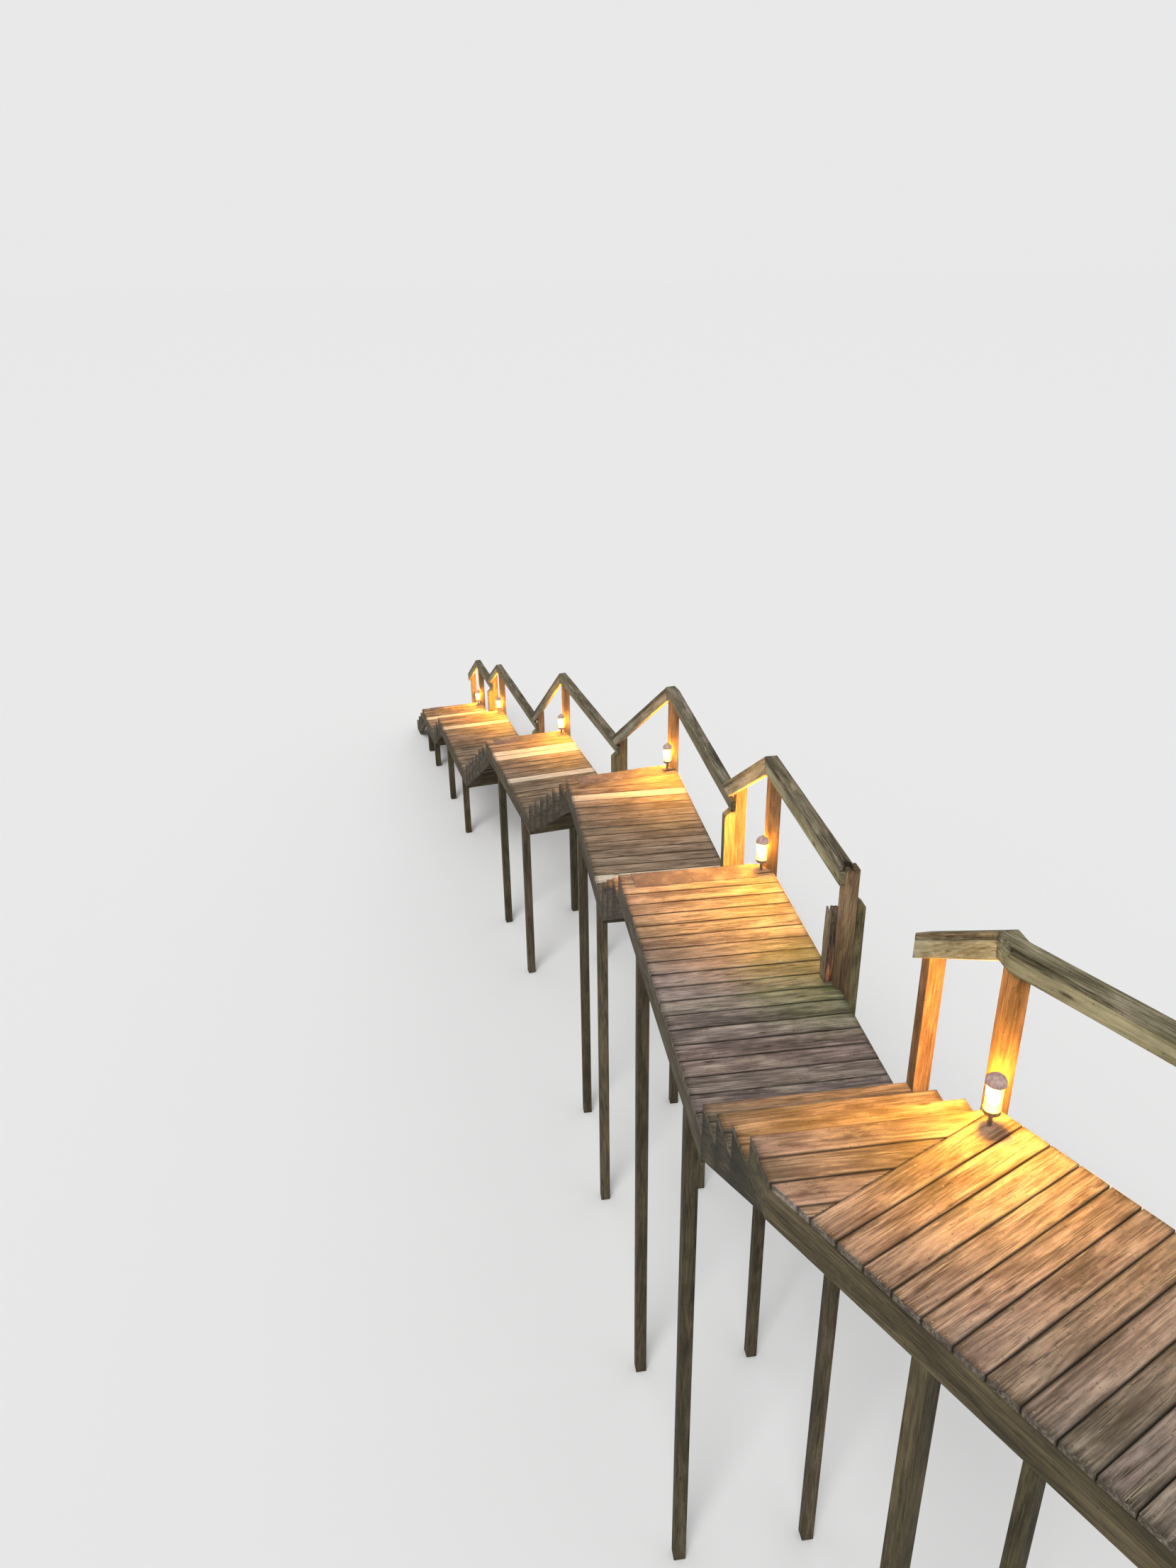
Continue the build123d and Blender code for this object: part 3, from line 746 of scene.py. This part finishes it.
def nails(name, finish):
    """Nail heads in pairs over a landing's three joists. Landing B's two boards at the bend have none."""
    rows, count = ROWS[name]
    whole = bmesh.new()
    for row in range(2 if name == "b" else 0, count):
        for x in NAIL_LINES:
            for y in NAIL_PAIR:
                wobble = noise.noise_vector(Vector((row, x * 9, y * 30)) * 3.7) * 0.008
                aside = wobble.x if x == MIDDLE_JOIST else 0.0
                spot = rows @ Matrix.Translation((x + aside, -row * PITCH + y + wobble.y, 0.0002))
                bmesh.ops.create_cone(whole, cap_ends=True, segments=7, radius1=0.0048, radius2=0.004,
                                      depth=0.0012, matrix=spot)
    piece = stand("nails_" + name, whole, finish)


def bulb(name, corner, finish):
    """The lit bulb inside a lamp's glass."""
    whole = bmesh.new()
    spot = corner @ Matrix.Translation(BULB) @ Matrix.Diagonal((1, 1, 1.9, 1))
    bmesh.ops.create_uvsphere(whole, u_segments=16, v_segments=10, radius=0.028, matrix=spot)
    for face in whole.faces:
        face.smooth = True
    piece = stand("bulb_" + name, whole, finish)


def shone_on(name):
    """What a landing's lamp lights: neither the level rails nor the boards of the other landings.
    The lamps' own parts throw no shadow."""
    group = bpy.data.collections.new("shone_on_" + name)
    shading = bpy.data.collections.new("shading_" + name)
    for piece in bpy.context.scene.objects:
        kind, which = (piece.name + "_").split("_")[:2]
        apart = kind in ("decking", "nails", "joists") and which != name
        if piece.type == "MESH" and kind != "level" and not apart:
            group.objects.link(piece)
        if piece.type == "MESH" and kind not in ("lamp", "bulb"):
            shading.objects.link(piece)
    return group, shading


def lamp_light(name, spot):
    """A warm light around a lamp. Landing A's lights up more than a metre of its boards."""
    steady, growing, reach, drop = WIDE_LAMP if name == "a" else SMALL_LAMP
    lamp = bpy.data.lights.new("lamp_" + name, "POINT")
    lamp.energy = 1.0
    lamp.shadow_soft_size = 0.03
    lamp.use_nodes = True
    tree = lamp.node_tree
    away = add(tree, "LightPath").outputs["Ray Length"]
    falloff = add(tree, "LightFalloff", LAMP_STRENGTH).outputs
    level = times(tree, falloff["Constant"], calc(tree, "MULTIPLY_ADD", away, growing, steady))
    level = calc(tree, "MULTIPLY_ADD", falloff["Quadratic"], 0.02, level)
    fade = calc(tree, "POWER", calc(tree, "DIVIDE", away, reach), drop)
    fade = calc(tree, "EXPONENT", times(tree, fade, -1.0))
    shader = tree.nodes["Emission"]
    tree.links.new(times(tree, level, fade), shader.inputs["Strength"])
    colour = blend(tree, ranged(tree, away, 0.45, 1.0), (1.0, 0.46, 0.03, 1), (1.0, 0.465, 0.08, 1))
    tree.links.new(colour, shader.inputs["Color"])
    holder = bpy.data.objects.new("lamp_" + name, lamp)
    holder.location = spot
    linking = holder.light_linking
    linking.receiver_collection, linking.blocker_collection = shone_on(name)
    bpy.context.scene.collection.objects.link(holder)


def light_lamps():
    lit = lit_bulb()
    for name, corner in FAR_CORNERS.items():
        bulb(name, corner, lit)
        lamp_light(name, corner @ Vector(LIGHT))


def dress():
    wood = {name: weathered(name, dark, middle, pale, **worn)
            for name, (dark, middle, pale, worn) in TIMBERS.items()}
    rim, cap = wood["frame_timber"], wood["cap_timber"]
    for name in LANDINGS:
        deck = wood["deck_boards" if name in "za" else "damp_deck_boards"]
        rework("decking_" + name, deck, wear=deck_wear(name))
        rework("joists_" + name, rim, spacing=0.5, wear=plain_wear)
        rework("legs_" + name, wood["leg_timber"], spacing=0.6, wear=plain_wear)
    for number, name in enumerate(LANDINGS):
        flight = FAR_CORNERS[name]
        rework(f"stringers_{number}", rim, spacing=0.5, wave=0.0006, edge=0.002,
               wear=dripping(flight), cuts=step_lines(flight))
        rework(f"treads_{number}", wood["tread_boards"], wear=plain_wear)
    rework("headers", rim, spacing=0.4, wear=plain_wear)
    rework("level_rail_boards", wood["rail_timber"], wear=rail_wear)
    rework("sloped_rail_boards", wood["sloped_rail_timber"], wear=rail_wear)
    rework("level_rail_caps", cap, wear=cap_wear, shape=tear_cap)
    rework("sloped_rail_caps", cap, wear=rail_wear)
    rework("rail_posts", wood["post_timber"], spacing=0.3, wear=post_wear, shape=slope_tops)
    rework("stub_posts", wood["old_timber"], spacing=0.12, wear=old_wear, shape=break_post)
    rework("mats", worn_mat(), spacing=0.012, wave=0.0, edge=0.0006, shape=fray)
    metal, shade, glass = lamp_metal(), shade_plastic(), lamp_glass()
    for node, finish in (("lamp_stems", metal), ("lamp_shades", shade), ("lamp_glasses", glass)):
        for slot in frame["nodes"][node].material_slots:
            slot.material = finish
    for name in LANDINGS:
        nails(name, metal)


# View and light

def camera():
    data = bpy.data.cameras.new("view")
    data.sensor_width = SENSOR
    data.sensor_fit = "HORIZONTAL"
    data.lens = LENS
    eye = bpy.data.objects.new("view", data)
    bpy.context.scene.collection.objects.link(eye)
    eye.location = CORNER + EYE
    turn = Matrix.Rotation(radians(TURN), 4, "Z")
    tilt = Matrix.Rotation(radians(90 + TILT), 4, "X")
    roll = Matrix.Rotation(radians(ROLL), 4, "Z")
    eye.rotation_euler = (turn @ tilt @ roll).to_euler()
    bpy.context.scene.camera = eye


def stage():
    """A pale floor, a pale background and soft daylight from the upper left."""
    bpy.ops.mesh.primitive_plane_add(size=400, location=(0, 0, -0.001))
    floor = bpy.context.object
    floor.name = "floor"
    material, _, shader = start("floor")
    shader.inputs["Base Color"].default_value = (0.86, 0.86, 0.86, 1)
    shader.inputs["Roughness"].default_value = 0.9
    floor.data.materials.append(material)
    sun = bpy.data.lights.new("daylight", "SUN")
    sun.energy = 1.5
    sun.angle = radians(25)
    holder = bpy.data.objects.new("daylight", sun)
    holder.rotation_euler = SUN_WAY.to_track_quat("-Z", "Y").to_euler()
    bpy.context.scene.collection.objects.link(holder)

    # The sky lights the stairs evenly. The camera sees it in the floor's own shade
    world = bpy.data.worlds.new("studio")
    bpy.context.scene.world = world
    world.use_nodes = True
    tree = world.node_tree
    sky = tree.nodes["Background"]
    sky.inputs[0].default_value = (1, 1, 1, 1)
    sky.inputs[1].default_value = 0.6
    backdrop = add(tree, "Background", BACKDROP, 1.0)
    path = add(tree, "LightPath")
    seen = calc(tree, "MAXIMUM", path.outputs["Is Camera Ray"], path.outputs["Is Transmission Ray"])
    both = add(tree, "MixShader", seen, sky.outputs[0], backdrop.outputs[0])
    tree.links.new(both.outputs[0], tree.nodes["World Output"].inputs["Surface"])


dress()
light_lamps()
camera()
stage()
bpy.context.scene.view_settings.view_transform = "Standard"
